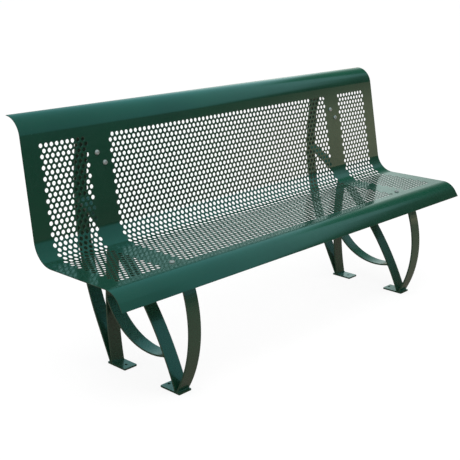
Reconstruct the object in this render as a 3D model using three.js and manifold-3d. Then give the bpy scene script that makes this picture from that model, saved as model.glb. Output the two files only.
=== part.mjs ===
// A park bench: one bent steel sheet makes the seat and the back, and two welded frames of flat bar carry it.
// +X runs along the bench, +Y from the front lip to the back, +Z up. Lengths are millimetres.
import * as THREE from 'three';
import { mergeVertices } from 'three/addons/utils/BufferGeometryUtils.js';
import Module from 'manifold-3d';

const wasm = await Module();
wasm.setup();
const { degToRad } = THREE.MathUtils;

// Seat and back sheet. Radii are those of the face that the sitter touches.
const SHELL_LENGTH = 1810;
const SHEET_THICKNESS = 3;
const SEAT_HEIGHT = 411;
const SEAT_FLAT_DEPTH = 257;
const SEAT_RISE_DEG = 0.3;
const BEND_RADIUS = 80.5;
const BACK_RECLINE_DEG = 9.7;
const BACK_FLAT_LENGTH = 323;
const TOP_ROLL_RADIUS = 70;
const TOP_ROLL_TURN_DEG = 80.3;
const LIP_RADIUS = 70;
const LIP_TURN_DEG = 57;
const LIP_SKIRT = 25;

// Openings in the sheet. A plain grid stands for the fields of small round holes and takes out as much steel.
// The setback and the drop run along the sheet from the front of the seat's flat and the top of the back's.
const FIELD_FRONT_SETBACK = 25.9;
const FIELD_TOP_DROP = 28.6;
const FIELD_END_MARGIN = 65;
const FIELD_FRAME_MARGIN = 45;
const SEAT_ROWS = 2;
const BEND_ROWS = 1;
const BACK_ROWS = 3;
const END_COLUMNS = 2;
const MIDDLE_COLUMNS = 8;
const OPENING_SHARE = 0.714;

// Leg frames. Setbacks along Y are measured from the line where the seat's flat part ends at the rear, and
// the front foot's from the line where it starts at the front.
const FRAME_SPACING_SHARE = 0.6779;
const BAR_WIDTH = 50;
const BAR_THICKNESS = 6;
const WELD_GAP = 0.3;
const REAR_FOOT_SETBACK = 60;
const FRONT_FOOT_SETBACK = 4;

const UPRIGHT_LEAN_DEG = 26.7;
const UPRIGHT_STRAIGHT = 150;
const HOOK_RADIUS = 43.5;
const STRAP_RISE = 26;
const STRAP_TAIL = 21;

const DIAGONAL_RADIUS = 1080;

const REAR_LEG_TOP_SETBACK = 57;
const REAR_LEG_BULGE = 20;

const BOW_LEAN_DEG = 30.5;
const BOW_FOLD_RADIUS = 15;
const FLANGE_AHEAD = 36;
const FLANGE_TAIL = 22;

const ARC_REAR_HEIGHT = 234;
const ARC_FRONT_HEIGHT = 108;
const ARC_BULGE = 57;

// Foot plates
const PLATE_LENGTH = 87;
const PLATE_WIDTH = 52;
const PLATE_THICKNESS = 6;
const PLATE_CORNER_RADIUS = 2;
const PLATE_OVERHANG = 13;
const ANCHOR_HOLE_DIAMETER = 10;
const REAR_ANCHOR_INSET = 24;
const FRONT_ANCHOR_INSET = 12;

// Fasteners. Drops and setbacks are measured along the sheet from the ends of its flat stretches.
const BOLT_DIAMETER = 10;
const BOLT_CLEARANCE = 1;
const HEAD_DIAMETER = 17.5;
const HEAD_HEIGHT = 5.5;
const HEAD_RIM = 1.5;
const SHOULDER_SHARE = 0.8;
const CROWN_FLAT_SHARE = 0.5;
const SOCKET_WIDTH = 6;
const SOCKET_DEPTH = 3;
const WASHER_DIAMETER = 20;
const WASHER_THICKNESS = 2;
const NUT_WIDTH = 17;
const NUT_HEIGHT = 8;
const THREAD_CLEARANCE = 0.6;
const BOLT_STICKOUT = 3;
const UPPER_BOLT_DROP = 88.5;
const BOLT_PITCH = 36.5;
const BOLT_STAGGER = 27;
const SEAT_BOLT_SETBACK = 40;

// Fineness of the curved faces
const CHORD_TOLERANCE = 0.05;
const ROUND_SIDES = 24;
const CROWN_STEPS = 6;
const CORNER_STEPS = 2;
const CUT_OVERRUN = 10;

const HEX_SIDES = 6;
const SIDES = [
  { name: 'left', x: -SHELL_LENGTH * FRAME_SPACING_SHARE / 2 },
  { name: 'right', x: SHELL_LENGTH * FRAME_SPACING_SHARE / 2 },
];

const paint = (color) => new THREE.MeshStandardMaterial({ color, roughness: 0.35, metalness: 0.1 });
const shellPaint = paint(0x1f5546);
const framePaint = paint(0x1b4636);
const zinc = new THREE.MeshStandardMaterial({ color: 0xb8bcbb, roughness: 0.3, metalness: 0.9 });

// Paths in the side plane. A Vector2 holds (y, z), and a heading is an angle in degrees from +Y towards +Z.

const point = (y, z) => new THREE.Vector2(y, z);
const along = (heading) => point(Math.cos(degToRad(heading)), Math.sin(degToRad(heading)));
const leftOf = (direction) => point(-direction.y, direction.x);
const shifted = (start, direction, distance) => start.clone().addScaledVector(direction, distance);
const angleOf = (centre, rim) => Math.atan2(rim.y - centre.y, rim.x - centre.x);

function line(start, end) {
  return { start, end, direction: end.clone().sub(start).normalize() };
}

// An arc from start to end about centre. turn is 1 for a turn to the left and -1 for one to the right.
function arc(centre, start, end, turn) {
  const from = angleOf(centre, start);
  const sweep = THREE.MathUtils.euclideanModulo(turn * (angleOf(centre, end) - from), 2 * Math.PI);
  return { start, end, centre, radius: centre.distanceTo(start), from, sweep, turn };
}

// The arc between two points whose middle stands off their chord by bulge, to the right of travel.
function bulgedArc(start, end, bulge) {
  const chord = end.distanceTo(start);
  const radius = (chord * chord / 4 + bulge * bulge) / (2 * bulge);
  const middle = start.clone().lerp(end, 1 / 2);
  const centre = shifted(middle, leftOf(line(start, end).direction), radius - bulge);
  return arc(centre, start, end, 1);
}

// Follows runs { run } and bends { radius, turnDeg } from a start and a heading.
function trace(start, heading, moves) {
  const path = [];
  let at = start;
  let facing = heading;
  for (const move of moves) {
    if (move.run !== undefined) {
      path.push(line(at, shifted(at, along(facing), move.run)));
    } else {
      const turn = Math.sign(move.turnDeg);
      const centre = shifted(at, leftOf(along(facing)), turn * move.radius);
      facing += move.turnDeg;
      path.push(arc(centre, at, shifted(centre, leftOf(along(facing)), -turn * move.radius), turn));
    }
    at = path.at(-1).end;
  }
  return path;
}

// The stretch of a line or an arc between two distances from its start.
function stretchOf(piece, near, far) {
  const [start, end] = [near, far].map((distance) => {
    if (!piece.centre) {
      return shifted(piece.start, piece.direction, distance);
    }
    const angle = piece.from + piece.turn * distance / piece.radius;
    return shifted(piece.centre, point(Math.cos(angle), Math.sin(angle)), piece.radius);
  });
  return piece.centre ? arc(piece.centre, start, end, piece.turn) : line(start, end);
}

function backwards(path) {
  return path.toReversed().map((piece) => (
    piece.centre ? arc(piece.centre, piece.end, piece.start, -piece.turn) : line(piece.end, piece.start)
  ));
}

// A foot's straight run, one long arc, a tight bend of the given radius and a straight flange, all smooth.
// The flange starts at flangeStart and runs along flangeHeading. turn is 1 to the left and -1 to the right.
function footToFlange({ foot, lean, straight, radius, flangeStart, flangeHeading, flangeLength, turn }) {
  const heading = along(lean);
  const bendStart = shifted(foot, heading, straight);
  const hook = shifted(flangeStart, leftOf(along(flangeHeading)), turn * radius);
  const inward = leftOf(heading).multiplyScalar(turn);
  const reach = bendStart.clone().sub(hook);
  const longRadius = (radius * radius - reach.lengthSq()) / (2 * (inward.dot(reach) + radius));
  const centre = shifted(bendStart, inward, longRadius);
  const tangent = shifted(hook, hook.clone().sub(centre).normalize(), radius);
  const path = [
    arc(centre, bendStart, tangent, turn),
    arc(hook, tangent, flangeStart, turn),
    line(flangeStart, shifted(flangeStart, along(flangeHeading), flangeLength)),
  ];
  return straight > 0 ? [line(foot, bendStart), ...path] : path;
}

// Where two circles meet, on the left of the line from the first centre to the second.
function circlesMeet(first, firstRadius, second, secondRadius) {
  const gap = first.distanceTo(second);
  const reach = (gap * gap + firstRadius * firstRadius - secondRadius * secondRadius) / (2 * gap);
  const rise = Math.sqrt(firstRadius * firstRadius - reach * reach);
  const direction = line(first, second).direction;
  return shifted(shifted(first, direction, reach), leftOf(direction), rise);
}

// The point of an arc at a height, on the side of the centre that the arc bulges to.
function atHeight({ centre, radius, start }, height) {
  const across = Math.sqrt(radius * radius - (height - centre.y) ** 2);
  return point(centre.x + Math.sign(start.x - centre.x) * across, height);
}

// The point of an arc at a distance along Y, on the upper half of its circle.
function atSetback({ centre, radius }, setback) {
  return point(setback, centre.y + Math.sqrt(radius * radius - (setback - centre.x) ** 2));
}

// Points on the line that lies the given distance to the left of a path.
function offsetPoints(path, distance) {
  const points = [];
  for (const piece of path) {
    if (!piece.centre) {
      points.push(...[piece.start, piece.end].map((end) => shifted(end, leftOf(piece.direction), distance)));
      continue;
    }
    const radius = piece.radius - piece.turn * distance;
    const steps = Math.ceil(piece.sweep / (2 * Math.acos(1 - CHORD_TOLERANCE / piece.radius)));
    for (let step = 0; step <= steps; step++) {
      const angle = piece.from + piece.turn * piece.sweep * step / steps;
      points.push(shifted(piece.centre, point(Math.cos(angle), Math.sin(angle)), radius));
    }
  }
  return points.filter((at, i) => i === 0 || at.distanceTo(points[i - 1]) > CHORD_TOLERANCE);
}

// Solids

// Extrudes an outline in the side plane to a width along X, centred on x = 0.
function extrudeAcross(outline, width) {
  const geometry = new THREE.ExtrudeGeometry(new THREE.Shape(outline), { depth: width, bevelEnabled: false });
  geometry.translate(0, 0, -width / 2);
  const sideways = new THREE.Matrix4().makeBasis(
    new THREE.Vector3(0, 1, 0), new THREE.Vector3(0, 0, 1), new THREE.Vector3(1, 0, 0),
  );
  return geometry.applyMatrix4(sideways);
}

// A strip along a path, from one distance on its left to another on its right.
function strip(path, leftDistance, rightDistance, width) {
  const leftEdge = offsetPoints(path, leftDistance);
  const rightEdge = offsetPoints(path, -rightDistance);
  return extrudeAcross([...rightEdge, ...leftEdge.reverse()], width);
}

function solidOf(geometry) {
  const bare = geometry.clone();
  bare.deleteAttribute('normal');
  bare.deleteAttribute('uv');
  const merged = mergeVertices(bare);
  const mesh = new wasm.Mesh({
    numProp: 3,
    vertProperties: new Float32Array(merged.attributes.position.array),
    triVerts: new Uint32Array(merged.index.array),
  });
  return new wasm.Manifold(mesh);
}

function cut(geometry, cutters) {
  let solid = solidOf(geometry);
  for (const cutter of cutters) {
    solid = solid.subtract(solidOf(cutter));
  }
  const { vertProperties, triVerts } = solid.getMesh();
  const result = new THREE.BufferGeometry();
  result.setAttribute('position', new THREE.BufferAttribute(vertProperties, 3));
  result.setIndex(new THREE.BufferAttribute(triVerts, 1));
  result.computeVertexNormals();
  return result;
}

function mesh(name, geometry, material) {
  const made = new THREE.Mesh(geometry, material);
  made.name = name;
  return made;
}

// The sheet: the sitter's face, front half and rear half, both traced from the rear end of the seat's flat.

const seatRear = point(0, SEAT_HEIGHT);
const seatHeading = 180 - SEAT_RISE_DEG;
const backHeading = 90 - BACK_RECLINE_DEG;
const frontHalf = trace(seatRear, seatHeading, [
  { run: SEAT_FLAT_DEPTH },
  { radius: LIP_RADIUS, turnDeg: LIP_TURN_DEG },
  { run: LIP_SKIRT },
]);
const rearHalf = trace(seatRear, -SEAT_RISE_DEG, [
  { radius: BEND_RADIUS, turnDeg: backHeading + SEAT_RISE_DEG },
  { run: BACK_FLAT_LENGTH },
  { radius: TOP_ROLL_RADIUS, turnDeg: -TOP_ROLL_TURN_DEG },
]);
const sitterFace = [...backwards(frontHalf), ...rearHalf];
const [seatFlat] = frontHalf;
const [seatBend, backFlat] = rearHalf;
const [seatFromFront] = backwards([seatFlat]);

// Each bolt has its place on the sitter's face, the direction that its head faces and a sideways stagger.
const backNormal = leftOf(backFlat.direction);
const seatNormal = leftOf(seatFlat.direction).negate();
const BOLTS = [
  {
    name: 'upper_back',
    at: shifted(backFlat.end, backFlat.direction, -UPPER_BOLT_DROP),
    normal: backNormal,
    stagger: -BOLT_STAGGER / 2,
  },
  {
    name: 'lower_back',
    at: shifted(backFlat.end, backFlat.direction, -UPPER_BOLT_DROP - BOLT_PITCH),
    normal: backNormal,
    stagger: BOLT_STAGGER / 2,
  },
  {
    name: 'seat',
    at: shifted(seatFlat.end, seatFlat.direction, -SEAT_BOLT_SETBACK),
    normal: seatNormal,
    stagger: 0,
  },
];
const [upperBolt, lowerBolt, seatBolt] = BOLTS;

// A round cutter through everything that a bolt clamps, at its place in one frame.
function boltCutter({ at, normal, stagger }, frameX) {
  const grip = SHEET_THICKNESS + BAR_THICKNESS + WELD_GAP;
  const radius = (BOLT_DIAMETER + BOLT_CLEARANCE) / 2;
  const cutter = new THREE.CylinderGeometry(radius, radius, grip + 2 * CUT_OVERRUN, ROUND_SIDES);
  cutter.translate(0, -grip / 2, 0);
  cutter.rotateX(Math.atan2(normal.y, normal.x));
  return cutter.translate(frameX + stagger, at.x, at.y);
}

// Divides a length into equal cells and gives where the opening in each one starts and ends.
function openingSpans(start, end, count) {
  const pitch = (end - start) / count;
  return Array.from({ length: count }, (_, i) => {
    const near = start + pitch * (i + (1 - OPENING_SHARE) / 2);
    return [near, near + pitch * OPENING_SHARE];
  });
}

// Cutters for the grid of openings. Its rows follow the sheet from the seat round the bend and up the back,
// and its columns leave out the sheet's ends and the strips that lie on the frames.
function fieldCutters() {
  const rowsOf = (piece, start, end, count) => (
    openingSpans(start, end, count).map(([near, far]) => stretchOf(piece, near, far))
  );
  const rows = [
    ...rowsOf(seatFromFront, FIELD_FRONT_SETBACK, SEAT_FLAT_DEPTH, SEAT_ROWS),
    ...rowsOf(seatBend, 0, seatBend.radius * seatBend.sweep, BEND_ROWS),
    ...rowsOf(backFlat, 0, BACK_FLAT_LENGTH - FIELD_TOP_DROP, BACK_ROWS),
  ];
  const [left, right] = SIDES.map(({ x }) => x);
  const columns = [
    ...openingSpans(-SHELL_LENGTH / 2 + FIELD_END_MARGIN, left - FIELD_FRAME_MARGIN, END_COLUMNS),
    ...openingSpans(left + FIELD_FRAME_MARGIN, right - FIELD_FRAME_MARGIN, MIDDLE_COLUMNS),
    ...openingSpans(right + FIELD_FRAME_MARGIN, SHELL_LENGTH / 2 - FIELD_END_MARGIN, END_COLUMNS),
  ];
  return rows.flatMap((row) => columns.map(([near, far]) => (
    strip([row], CUT_OVERRUN, SHEET_THICKNESS + CUT_OVERRUN, far - near).translate((near + far) / 2, 0, 0)
  )));
}

// The sheet with its bolt holes and its grid of openings.
function seatShell() {
  const sheet = strip(sitterFace, 0, SHEET_THICKNESS, SHELL_LENGTH);
  const boltHoles = SIDES.flatMap(({ x }) => BOLTS.map((bolt) => boltCutter(bolt, x)));
  return mesh('seat_shell', cut(sheet, [...boltHoles, ...fieldCutters()]), shellPaint);
}

// Leg frame. Every bar is a path of its middle line that starts on top of its foot plate.

const barOffset = SHEET_THICKNESS + WELD_GAP + BAR_THICKNESS / 2;
const footSpread = (leanDeg) => BAR_THICKNESS / Math.cos(degToRad(leanDeg)) + WELD_GAP;

const uprightFoot = point(REAR_FOOT_SETBACK, PLATE_THICKNESS);
const strapTop = shifted(shifted(upperBolt.at, backNormal, -barOffset), backFlat.direction, STRAP_RISE);
const uprightPath = footToFlange({
  foot: uprightFoot,
  lean: 90 - UPRIGHT_LEAN_DEG,
  straight: UPRIGHT_STRAIGHT,
  radius: HOOK_RADIUS,
  flangeStart: strapTop,
  flangeHeading: backHeading + 180,
  flangeLength: STRAP_RISE + BOLT_PITCH + STRAP_TAIL,
  turn: 1,
});
const uprightArc = uprightPath.find((piece) => piece.centre);

// The diagonal passes under the seat's bend, one weld gap away, and ends at the upright.
const diagonalFoot = point(FRONT_FOOT_SETBACK - SEAT_FLAT_DEPTH, PLATE_THICKNESS);
const diagonalCentre = circlesMeet(
  seatBend.centre, DIAGONAL_RADIUS + BEND_RADIUS + barOffset, diagonalFoot, DIAGONAL_RADIUS,
);
const diagonalTop = circlesMeet(uprightArc.centre, uprightArc.radius, diagonalCentre, DIAGONAL_RADIUS);
const diagonalArc = arc(diagonalCentre, diagonalFoot, diagonalTop, -1);

const rearLegFoot = shifted(uprightFoot, point(-1, 0), footSpread(UPRIGHT_LEAN_DEG));
const rearLegArc = bulgedArc(rearLegFoot, atSetback(diagonalArc, REAR_LEG_TOP_SETBACK), REAR_LEG_BULGE);

const bowPath = footToFlange({
  foot: shifted(diagonalFoot, point(-1, 0), footSpread(BOW_LEAN_DEG)),
  lean: 90 + BOW_LEAN_DEG,
  straight: 0,
  radius: BOW_FOLD_RADIUS,
  flangeStart: shifted(shifted(seatBolt.at, seatNormal, -barOffset), seatFlat.direction, FLANGE_AHEAD),
  flangeHeading: seatHeading + 180,
  flangeLength: FLANGE_AHEAD + FLANGE_TAIL,
  turn: -1,
});

const lowerArc = bulgedArc(
  atHeight(diagonalArc, ARC_FRONT_HEIGHT), atHeight(rearLegArc, ARC_REAR_HEIGHT), ARC_BULGE,
);

// The path with a short straight run added below its foot, where the plate's top then cuts it off.
function withToe(path) {
  const [first] = path;
  const direction = first.centre
    ? leftOf(first.start.clone().sub(first.centre).normalize()).multiplyScalar(first.turn)
    : first.direction;
  return [line(shifted(first.start, direction, -BAR_THICKNESS), first.start), ...path];
}

const bar = (path) => strip(path, BAR_THICKNESS / 2, BAR_THICKNESS / 2, BAR_WIDTH);

// The space that a bar and the weld gap round it take from the bars that end on it.
function barSpace(path) {
  const half = BAR_THICKNESS / 2 + WELD_GAP;
  return strip(path, half, half, BAR_WIDTH + 2 * CUT_OVERRUN);
}

// Everything below the top of the foot plate that is centred at a distance along Y.
function groundUnder(foot) {
  const height = PLATE_THICKNESS + CUT_OVERRUN;
  const block = new THREE.BoxGeometry(BAR_WIDTH + 2 * CUT_OVERRUN, PLATE_LENGTH, height);
  return block.translate(0, foot.x, PLATE_THICKNESS - height / 2);
}

function footedBar(name, path, cutters) {
  const [first] = path;
  return mesh(name, cut(bar(withToe(path)), [groundUnder(first.start), ...cutters]), framePaint);
}

// A plate with rounded corners, from its front edge back, and one anchor hole.
function plate(name, front, anchorY) {
  const side = PLATE_WIDTH / 2 - PLATE_CORNER_RADIUS;
  const near = front + PLATE_CORNER_RADIUS;
  const far = front + PLATE_LENGTH - PLATE_CORNER_RADIUS;
  const outline = new THREE.Shape();
  [[side, near], [side, far], [-side, far], [-side, near]].forEach(([x, y], i) => {
    const from = (i - 1) * Math.PI / 2;
    outline.absarc(x, y, PLATE_CORNER_RADIUS, from, from + Math.PI / 2, false);
  });
  const anchor = new THREE.EllipseCurve(0, anchorY, ANCHOR_HOLE_DIAMETER / 2, ANCHOR_HOLE_DIAMETER / 2);
  outline.holes.push(new THREE.Path(anchor.getPoints(ROUND_SIDES).slice(1)));
  const geometry = new THREE.ExtrudeGeometry(outline, {
    depth: PLATE_THICKNESS,
    bevelEnabled: false,
    curveSegments: CORNER_STEPS,
  });
  return mesh(name, geometry, framePaint);
}

// Button head and shank in one, with the underside of the head at y = 0 and the head towards +Y.
function boltGeometry(shankLength) {
  const rim = HEAD_DIAMETER / 2;
  const shoulder = point(rim * SHOULDER_SHARE, HEAD_HEIGHT);
  const crownEdge = point(rim * CROWN_FLAT_SHARE, HEAD_HEIGHT);
  const dome = new THREE.QuadraticBezierCurve(point(rim, HEAD_RIM), shoulder, crownEdge);
  const profile = [
    point(0, -shankLength),
    point(BOLT_DIAMETER / 2, -shankLength),
    point(BOLT_DIAMETER / 2, 0),
    point(rim, 0),
    ...dome.getPoints(CROWN_STEPS),
    point(0, HEAD_HEIGHT),
  ];
  const body = new THREE.LatheGeometry(profile, ROUND_SIDES);
  const acrossCorners = SOCKET_WIDTH / Math.cos(Math.PI / HEX_SIDES);
  const socket = new THREE.CylinderGeometry(
    acrossCorners / 2, acrossCorners / 2, SOCKET_DEPTH + CUT_OVERRUN, HEX_SIDES,
  );
  socket.translate(0, HEAD_HEIGHT - SOCKET_DEPTH + (SOCKET_DEPTH + CUT_OVERRUN) / 2, 0);
  return cut(body, [socket]);
}

// A flat ring or nut with its near face at y = 0, reaching down to -height.
function ringGeometry(outerRadius, sides, bore, height) {
  const body = new THREE.CylinderGeometry(outerRadius, outerRadius, height, sides);
  const hole = new THREE.CylinderGeometry(bore / 2, bore / 2, height + CUT_OVERRUN, ROUND_SIDES);
  return cut(body, [hole]).translate(0, -height / 2, 0);
}

// Bolt, washer and nut in a group whose +Y is the way the head faces, with y = 0 on the sitter's face.
function fastener(side, { name, at, normal, stagger }) {
  const group = new THREE.Group();
  const washerTop = -(barOffset + BAR_THICKNESS / 2 + WELD_GAP);
  const nutTop = washerTop - WASHER_THICKNESS - WELD_GAP;
  const shankLength = WELD_GAP - nutTop + NUT_HEIGHT + BOLT_STICKOUT;
  const bore = BOLT_DIAMETER + THREAD_CLEARANCE;
  const bolt = mesh(`${side}_${name}_bolt`, boltGeometry(shankLength), zinc);
  const washer = mesh(
    `${side}_${name}_washer`, ringGeometry(WASHER_DIAMETER / 2, ROUND_SIDES, bore, WASHER_THICKNESS), zinc,
  );
  const nutRadius = NUT_WIDTH / 2 / Math.cos(Math.PI / HEX_SIDES);
  const nut = mesh(`${side}_${name}_nut`, ringGeometry(nutRadius, HEX_SIDES, bore, NUT_HEIGHT), zinc);
  bolt.position.y = WELD_GAP;
  washer.position.y = washerTop;
  nut.position.y = nutTop;
  group.add(bolt, washer, nut);
  group.position.set(stagger, at.x, at.y);
  group.rotation.x = Math.atan2(normal.y, normal.x);
  return group;
}

function legFrame({ name: side, x }) {
  const group = new THREE.Group();
  group.position.x = x;
  const strapHoles = [upperBolt, lowerBolt].map((bolt) => boltCutter(bolt, 0));
  const rearPlateFront = uprightFoot.x + PLATE_OVERHANG - PLATE_LENGTH;
  const frontPlateFront = bowPath[0].start.x - PLATE_OVERHANG;
  const frontPlateRear = frontPlateFront + PLATE_LENGTH;
  group.add(
    footedBar(`${side}_rear_upright`, uprightPath, strapHoles),
    footedBar(`${side}_rear_leg`, [rearLegArc], [barSpace([diagonalArc])]),
    footedBar(`${side}_diagonal_bar`, [diagonalArc], [barSpace(uprightPath)]),
    footedBar(`${side}_front_bow`, bowPath, [boltCutter(seatBolt, 0)]),
    mesh(
      `${side}_lower_arc`,
      cut(bar([lowerArc]), [barSpace([diagonalArc]), barSpace([rearLegArc])]),
      framePaint,
    ),
    plate(`${side}_rear_foot_plate`, rearPlateFront, rearPlateFront + REAR_ANCHOR_INSET),
    plate(`${side}_front_foot_plate`, frontPlateFront, frontPlateRear - FRONT_ANCHOR_INSET),
    ...BOLTS.map((bolt) => fastener(side, bolt)),
  );
  return group;
}

// The whole bench, moved so that the origin lies under the middle of its box.
const bench = new THREE.Group();
bench.add(seatShell(), ...SIDES.map(legFrame));
const box = new THREE.Box3().setFromObject(bench, true);
bench.position.y = -(box.min.y + box.max.y) / 2;

export default bench;
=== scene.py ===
"""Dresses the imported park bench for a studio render.

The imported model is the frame. Its plain sheet is replaced by the same sheet with its three fields of round
holes. The bars, plates and fasteners keep their shapes and get rounded edges and finishes, and weld beads
are added where bars meet. Lengths are metres, with +X along the bench, +Y towards the back and +Z up.
"""

from __future__ import annotations

import logging
import math
from collections.abc import Iterable
from dataclasses import dataclass, replace
from enum import Enum, IntEnum

import bmesh
import bpy
import numpy as np
from bpy.types import Material, Mesh, Node, NodeSocket, NodeTree, Object
from mathutils import Matrix, Vector

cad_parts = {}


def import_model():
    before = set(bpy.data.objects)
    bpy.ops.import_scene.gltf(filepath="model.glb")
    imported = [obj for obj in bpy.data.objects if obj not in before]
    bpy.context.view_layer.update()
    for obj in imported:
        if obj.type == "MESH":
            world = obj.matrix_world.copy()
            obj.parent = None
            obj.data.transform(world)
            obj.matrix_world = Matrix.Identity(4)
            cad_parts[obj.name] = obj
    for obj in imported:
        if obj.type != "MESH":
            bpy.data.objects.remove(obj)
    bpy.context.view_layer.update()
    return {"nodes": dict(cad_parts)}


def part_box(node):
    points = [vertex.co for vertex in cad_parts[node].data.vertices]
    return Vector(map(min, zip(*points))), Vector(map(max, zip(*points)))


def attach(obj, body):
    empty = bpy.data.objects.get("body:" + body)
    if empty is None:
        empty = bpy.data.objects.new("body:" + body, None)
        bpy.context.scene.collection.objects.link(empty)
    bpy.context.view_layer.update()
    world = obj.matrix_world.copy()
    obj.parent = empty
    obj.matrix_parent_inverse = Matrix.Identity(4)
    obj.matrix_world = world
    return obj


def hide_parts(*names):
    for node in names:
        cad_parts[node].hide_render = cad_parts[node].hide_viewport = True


LOG = logging.getLogger("bench")
MM = 0.001
TOUCH = 0.001 * MM  # coordinates nearer than this count as one
SHARP_FROM = math.radians(35)  # faces that meet at less are shaded as one
ROUNDING_STEPS = 2  # strips round a soft edge
PROFILE_SAMPLES = 5000
WHITE = (1.0, 1.0, 1.0)

Triple = tuple[float, float, float]
Colour = Triple
Outline = list[tuple[float, float]]
Marks = Iterable[float]
Input = NodeSocket | float | tuple[float, ...]
Inputs = dict[str | int, Input]


class Slot(Enum):
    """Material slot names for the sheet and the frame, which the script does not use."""

    SHELL = "shell_green"
    FRAME = "frame_green"


class Side(Enum):
    """The two leg frames, as seen from the front of the bench."""

    LEFT = "left"
    RIGHT = "right"


class Part(IntEnum):
    """The stretches of the sheet's side profile from the lip's lower edge up, and the profile's end."""

    SKIRT = 0
    LIP = 1
    SEAT = 2
    BEND = 3
    BACK = 4
    ROLL = 5
    END = 6


# Node trees


@dataclass(frozen=True)
class Ramp:
    """A span of one number that is mapped to a span of another and held inside it.

    Args:
        low: where the first span starts.
        high: where it ends.
        to_low: where the second span starts.
        to_high: where it ends.
    """

    low: float
    high: float
    to_low: float = 0.0
    to_high: float = 1.0


@dataclass(frozen=True)
class Noise:
    """A noise pattern.

    Args:
        scale: waves in a metre.
        detail: octaves.
    """

    scale: float
    detail: float = 1.0


@dataclass(frozen=True)
class Graph:
    """Adds nodes to one tree and links them.

    Args:
        tree: the tree.
    """

    tree: NodeTree

    def fill(self, node: Node, inputs: Inputs) -> Node:
        """Sets inputs of a node.

        Args:
            node: the node.
            inputs: for each input's name or number, a value or a socket to link from.

        Returns:
            The node.
        """
        for key, value in inputs.items():
            if isinstance(value, NodeSocket):
                self.tree.links.new(value, node.inputs[key])
            elif node.inputs[key].type == "RGBA":
                node.inputs[key].default_value = (*value, 1.0)
            else:
                node.inputs[key].default_value = value
        return node

    def node(self, kind: str, inputs: Inputs | None = None, **settings: str) -> Node:
        """Adds one node.

        Args:
            kind: type name of the node.
            inputs: what its inputs are set to.
            settings: properties of the node.

        Returns:
            The node.
        """
        made = self.tree.nodes.new(kind)
        for name, value in settings.items():
            setattr(made, name, value)
        return self.fill(made, inputs or {})

    def out(self, kind: str, inputs: Inputs | None = None, **settings: str) -> NodeSocket:
        """Adds one node for its first output.

        Args:
            kind: type name of the node.
            inputs: what its inputs are set to.
            settings: properties of the node.

        Returns:
            The output's socket.
        """
        return self.node(kind, inputs, **settings).outputs[0]

    def math(self, operation: str, first: Input, second: Input = 0.0) -> NodeSocket:
        """Adds one sum.

        Args:
            operation: name of the operation.
            first: first number or socket.
            second: second number or socket.

        Returns:
            The result's socket.
        """
        return self.out("ShaderNodeMath", {0: first, 1: second}, operation=operation)

    def ramp(self, value: Input, ramp: Ramp) -> NodeSocket:
        """Maps a number through a ramp.

        Args:
            value: number or socket.
            ramp: the ramp.

        Returns:
            The result's socket.
        """
        ends = {0: value, 1: ramp.low, 2: ramp.high, 3: ramp.to_low, 4: ramp.to_high}
        return self.out("ShaderNodeMapRange", ends)

    def mix(self, share: Input, first: Input, second: Input) -> NodeSocket:
        """Mixes two colours.

        Args:
            share: share of the second, as a number or socket.
            first: first colour or socket.
            second: second colour or socket.

        Returns:
            The mixed colour's socket.
        """
        return self.node("ShaderNodeMix", {0: share, 6: first, 7: second}, data_type="RGBA").outputs[2]

    def by_ray(self, soft: NodeSocket, mirrored: NodeSocket, seen: NodeSocket) -> NodeSocket:
        """Picks a shader by the kind of ray that meets it.

        Args:
            soft: the shader that lights the object.
            mirrored: the shader that reflections show.
            seen: the shader that the camera sees.

        Returns:
            The picked shader's socket.
        """
        path = self.node("ShaderNodeLightPath").outputs
        others = self.out("ShaderNodeMixShader", {0: path["Is Glossy Ray"], 1: soft, 2: mirrored})
        return self.out("ShaderNodeMixShader", {0: path["Is Camera Ray"], 1: others, 2: seen})

    def noise(self, place: NodeSocket, noise: Noise) -> NodeSocket:
        """Adds a noise texture.

        Args:
            place: coordinates.
            noise: its pattern.

        Returns:
            The noise's socket, from 0 to 1.
        """
        inputs = {"Vector": place, "Scale": noise.scale, "Detail": noise.detail}
        return self.out("ShaderNodeTexNoise", inputs)


# Finishes


def new_material(name: str) -> tuple[Material, Graph]:
    """Starts a material.

    Args:
        name: its name.

    Returns:
        The material and its graph.
    """
    made = bpy.data.materials.new(name)
    made.use_nodes = True
    return made, Graph(made.node_tree)


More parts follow.
